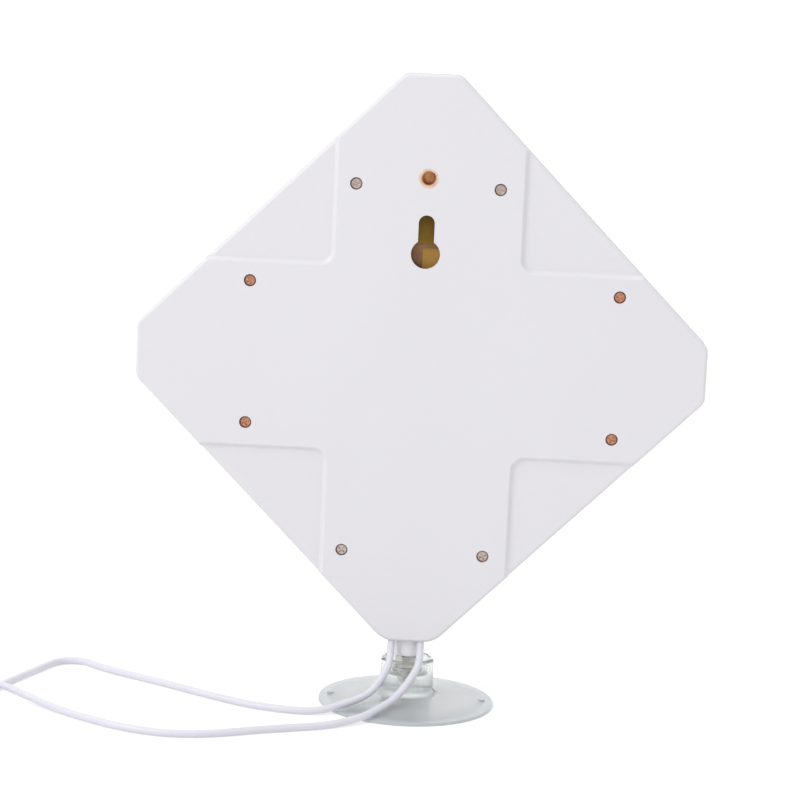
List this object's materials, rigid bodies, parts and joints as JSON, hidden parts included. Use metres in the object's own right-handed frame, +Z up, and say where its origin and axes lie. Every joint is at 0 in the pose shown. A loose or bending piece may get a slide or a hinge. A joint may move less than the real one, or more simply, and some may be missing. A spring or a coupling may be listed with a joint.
{
  "type": "flat-panel indoor antenna",
  "caption": "Square flat-panel indoor antenna standing on one corner on a clear suction-cup foot, with two thin white coaxial leads.",
  "frame": {"origin": "centre of the suction cup's flat underside, on the surface it stands on", "axes": "+Z up through the stud and the panel's upper corner, +Y the way the antenna faces (the radome side), +X to the right seen from behind"},
  "size_m": [0.37, 0.1632, 0.275],
  "materials": {
    "white_shell": "satin moulded ABS, off-white",
    "grey_steel": "zinc-plated, dull",
    "copper_screw": "copper-toned plating",
    "brass_insert": "turned and knurled",
    "board_laminate": "glass-epoxy laminate, olive brown",
    "board_copper": "etched copper",
    "solder": "tinned",
    "inner_plastic": "moulded",
    "lead_jacket": "soft PVC jacket, white",
    "insulation": "PTFE",
    "clear_cup": "soft clear PVC",
    "tie": "flat ribbon",
    "sleeve": "heat-shrink",
    "gold_plate": "gold-plated"
  },
  "bodies": {
    "foot": {"suction_cup": "clear_cup", "foot_stud": "grey_steel", "foot_washer": "grey_steel", "foot_lock_nut": "grey_steel", "left_lead": "lead_jacket", "left_lead_coil": "lead_jacket", "left_coil_tie": "tie", "left_lead_tail": "lead_jacket", "left_connector_sleeve": "sleeve", "left_connector_ferrule": "gold_plate", "left_connector_body": "gold_plate", "left_connector_insulator": "insulation", "left_connector_pin": "gold_plate", "right_lead": "lead_jacket", "right_lead_coil": "lead_jacket", "right_coil_tie": "tie", "right_lead_tail": "lead_jacket", "right_connector_sleeve": "sleeve", "right_connector_ferrule": "gold_plate", "right_connector_body": "gold_plate", "right_connector_insulator": "insulation", "right_connector_pin": "gold_plate"},
    "panel": {"front_cover": "white_shell", "rear_cover": "white_shell", "case_screws_ends": "grey_steel", "case_screws_sides": "copper_screw", "wall_mount_insert": "brass_insert", "stand_socket": "white_shell", "stand_socket_insert": "brass_insert", "antenna_board": "board_laminate", "board_screws": "grey_steel", "vertical_radiator": "board_copper", "horizontal_radiator": "board_copper", "vertical_feed_track": "board_copper", "horizontal_feed_track": "board_copper", "solder_joints": "solder", "cable_clamp": "inner_plastic", "clamp_screws": "grey_steel", "left_inner_lead": "lead_jacket", "right_inner_lead": "lead_jacket", "left_inner_core": "insulation", "right_inner_core": "insulation", "left_lead_stub": "lead_jacket", "right_lead_stub": "lead_jacket"},
    "left_plug_nut": {"left_coupling_nut": "gold_plate"},
    "right_plug_nut": {"right_coupling_nut": "gold_plate"}
  },
  "joints": [
    {"name": "panel_swivel", "type": "hinge", "parent": "foot", "child": "panel", "pos_m": [0, 0, 0.0258], "axis": [0, 0, 1], "range_deg": [-45, 45]},
    {"name": "left_nut_spin", "type": "hinge", "parent": "foot", "child": "left_plug_nut", "pos_m": [-0.20948, -0.02049, 0.0046], "axis": [0.4987, 0.8668, 0], "continuous": true},
    {"name": "right_nut_spin", "type": "hinge", "parent": "foot", "child": "right_plug_nut", "pos_m": [-0.22888, 0.07191, 0.0046], "axis": [0.4987, 0.8668, 0], "continuous": true}
  ]
}
